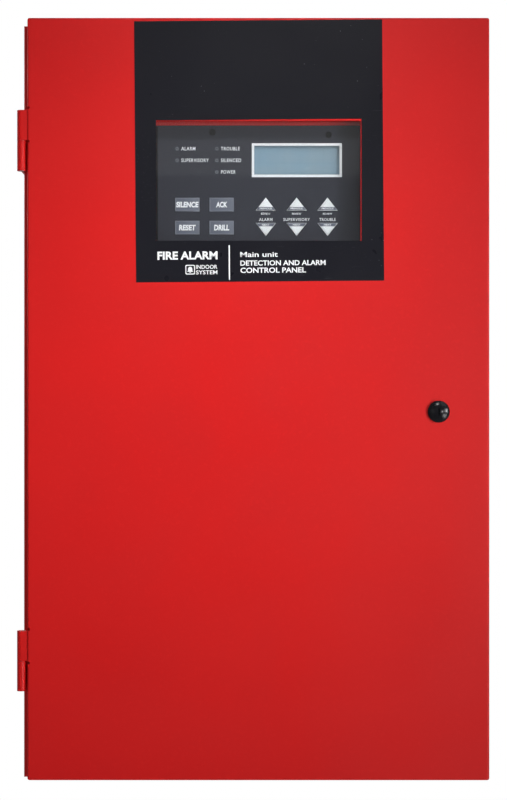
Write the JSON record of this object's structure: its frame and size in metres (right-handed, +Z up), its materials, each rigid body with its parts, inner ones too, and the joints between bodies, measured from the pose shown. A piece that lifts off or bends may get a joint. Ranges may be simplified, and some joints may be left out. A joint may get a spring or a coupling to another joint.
{
  "type": "fire alarm control panel",
  "caption": "Recessed steel fire alarm control panel with a hinged, windowed door, cam lock, text display, keypad, circuit board, transformer and batteries.",
  "frame": {"origin": "centre of the box's flat rear face, where it meets the wall", "axes": "+X to the right, +Y into the wall, +Z up; the door faces -Y"},
  "size_m": [0.4159, 0.125, 0.6706],
  "materials": {
    "red_paint": "semi-gloss powder coat, slight orange peel",
    "black_label": "satin printed film",
    "faceplate_grey": "satin printed overlay on steel",
    "clear_pane": "clear polycarbonate",
    "zinc_steel": "zinc plated",
    "galvanised": "galvanised, faint spangle",
    "black_lock": "gloss black",
    "board_green": "solder mask with gold pads",
    "black_plastic": "moulded, fine grain",
    "connector_green": "moulded",
    "relay_white": "moulded",
    "sleeve_blue": "shrink sleeve",
    "aluminium": "black-edged extrusion, satin",
    "fuse_glass": "clear tube",
    "lamination": "varnished laminations",
    "winding_tape": "polyester tape",
    "battery_case": "moulded ABS, fine grain",
    "lead_tab": "tinned",
    "brass": "satin",
    "wire_red": "PVC insulation",
    "wire_black": "PVC insulation",
    "wire_orange": "PVC insulation",
    "ribbon_grey": "ribbed flat cable",
    "lamp_grey": "unlit clear lens",
    "lcd_blue": "unlit reflective display",
    "key_grey": "satin, with a light legend",
    "key_white": "satin white"
  },
  "bodies": {
    "cabinet": {"back_wrap": "red_paint", "top_plate": "red_paint", "bottom_plate": "red_paint", "front_frame": "red_paint", "hinge_box_leaves": "red_paint", "hinge_pins": "zinc_steel", "earth_terminal": "brass", "board_tray": "galvanised", "chassis_screws": "zinc_steel", "main_board": "board_green", "board_standoffs": "zinc_steel", "board_screws": "zinc_steel", "terminal_blocks": "connector_green", "relays": "relay_white", "capacitors": "sleeve_blue", "logic_chips": "black_plastic", "heat_sink": "aluminium", "fuses": "fuse_glass", "phone_jacks": "black_plastic", "sounder": "black_plastic", "mains_terminal": "black_plastic", "transformer_core": "lamination", "transformer_coil": "winding_tape", "transformer_strap": "galvanised", "transformer_leads": "wire_orange", "battery_left": "battery_case", "battery_right": "battery_case", "battery_terminals": "lead_tab", "battery_lead_red": "wire_red", "battery_lead_black": "wire_black", "battery_jumper": "wire_black", "display_bracket": "red_paint", "display_board": "board_green", "display_faceplate": "faceplate_grey", "status_leds": "lamp_grey", "lcd_board": "board_green", "lcd_frame": "black_plastic", "lcd_glass": "lcd_blue", "tact_switches": "black_plastic", "ribbon_cable": "ribbon_grey"},
    "door": {"door_panel": "red_paint", "hinge_door_leaves": "red_paint", "door_overlay": "black_label", "window_pane": "clear_pane", "window_nuts": "zinc_steel", "lock_housing": "black_lock", "lock_nut": "zinc_steel"},
    "lock": {"lock_plug": "black_lock", "lock_cam": "zinc_steel", "lock_cam_screw": "zinc_steel"},
    "key_silence": {"key_silence": "key_grey"},
    "key_ack": {"key_ack": "key_grey"},
    "key_reset": {"key_reset": "key_grey"},
    "key_drill": {"key_drill": "key_grey"},
    "key_alarm_up": {"key_alarm_up": "key_white"},
    "key_alarm_down": {"key_alarm_down": "key_white"},
    "key_supervisory_up": {"key_supervisory_up": "key_white"},
    "key_supervisory_down": {"key_supervisory_down": "key_white"},
    "key_trouble_up": {"key_trouble_up": "key_white"},
    "key_trouble_down": {"key_trouble_down": "key_white"}
  },
  "joints": [
    {"name": "door_swing", "type": "hinge", "parent": "cabinet", "child": "door", "pos_m": [-0.20395, -0.11515, 0], "axis": [0, 0, -1], "range_deg": [0, 180]},
    {"name": "lock_turn", "type": "hinge", "parent": "door", "child": "lock", "pos_m": [0.1632, -0.11, -0.0093], "axis": [0, -1, 0], "range_deg": [0, 90]},
    {"name": "press_silence", "type": "slide", "parent": "cabinet", "child": "key_silence", "axis": [0, 1, 0], "range_m": [0, 0.0007], "stiffness_N_per_m": 900, "springref_m": -0.0003},
    {"name": "press_ack", "type": "slide", "parent": "cabinet", "child": "key_ack", "axis": [0, 1, 0], "range_m": [0, 0.0007], "stiffness_N_per_m": 900, "springref_m": -0.0003},
    {"name": "press_reset", "type": "slide", "parent": "cabinet", "child": "key_reset", "axis": [0, 1, 0], "range_m": [0, 0.0007], "stiffness_N_per_m": 900, "springref_m": -0.0003},
    {"name": "press_drill", "type": "slide", "parent": "cabinet", "child": "key_drill", "axis": [0, 1, 0], "range_m": [0, 0.0007], "stiffness_N_per_m": 900, "springref_m": -0.0003},
    {"name": "press_alarm_up", "type": "slide", "parent": "cabinet", "child": "key_alarm_up", "axis": [0, 1, 0], "range_m": [0, 0.0007], "stiffness_N_per_m": 900, "springref_m": -0.0003},
    {"name": "press_alarm_down", "type": "slide", "parent": "cabinet", "child": "key_alarm_down", "axis": [0, 1, 0], "range_m": [0, 0.0007], "stiffness_N_per_m": 900, "springref_m": -0.0003},
    {"name": "press_supervisory_up", "type": "slide", "parent": "cabinet", "child": "key_supervisory_up", "axis": [0, 1, 0], "range_m": [0, 0.0007], "stiffness_N_per_m": 900, "springref_m": -0.0003},
    {"name": "press_supervisory_down", "type": "slide", "parent": "cabinet", "child": "key_supervisory_down", "axis": [0, 1, 0], "range_m": [0, 0.0007], "stiffness_N_per_m": 900, "springref_m": -0.0003},
    {"name": "press_trouble_up", "type": "slide", "parent": "cabinet", "child": "key_trouble_up", "axis": [0, 1, 0], "range_m": [0, 0.0007], "stiffness_N_per_m": 900, "springref_m": -0.0003},
    {"name": "press_trouble_down", "type": "slide", "parent": "cabinet", "child": "key_trouble_down", "axis": [0, 1, 0], "range_m": [0, 0.0007], "stiffness_N_per_m": 900, "springref_m": -0.0003}
  ]
}
